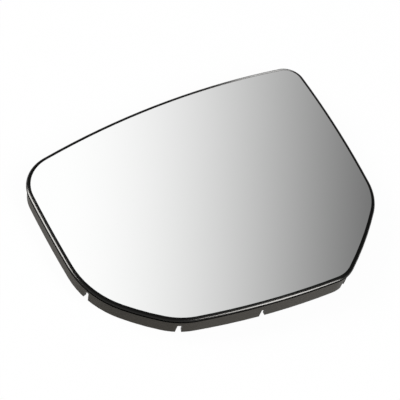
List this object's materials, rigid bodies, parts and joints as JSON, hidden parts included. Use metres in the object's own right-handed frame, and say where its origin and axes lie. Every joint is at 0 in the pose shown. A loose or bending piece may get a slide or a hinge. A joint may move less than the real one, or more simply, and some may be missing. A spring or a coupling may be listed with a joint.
{
  "type": "car door mirror glass",
  "caption": "Convex door mirror pane bonded into a moulded black carrier with a rounded lip, a slotted skirt, stiffening ribs and a snap-in clip ring at the back.",
  "frame": {"origin": "on the axis of the clip ring, in the plane of the carrier's free edge, below the middle of the outline", "axes": "+Z out of the carrier towards the viewer of the glass, +X along the long top edge towards its sharper corner, +Y from the clip axis to the top edge"},
  "size_m": [0.18, 0.1355, 0.0149],
  "materials": {
    "carrier_plastic": "injection moulded black plastic, smooth lip, satin skirt",
    "foam_tape": "closed-cell foam tape",
    "silvered_glass": "clear glass silvered on its back face"
  },
  "bodies": {
    "root": {"carrier": "carrier_plastic", "foam_pad": "foam_tape", "mirror_glass": "silvered_glass"}
  },
  "joints": []
}
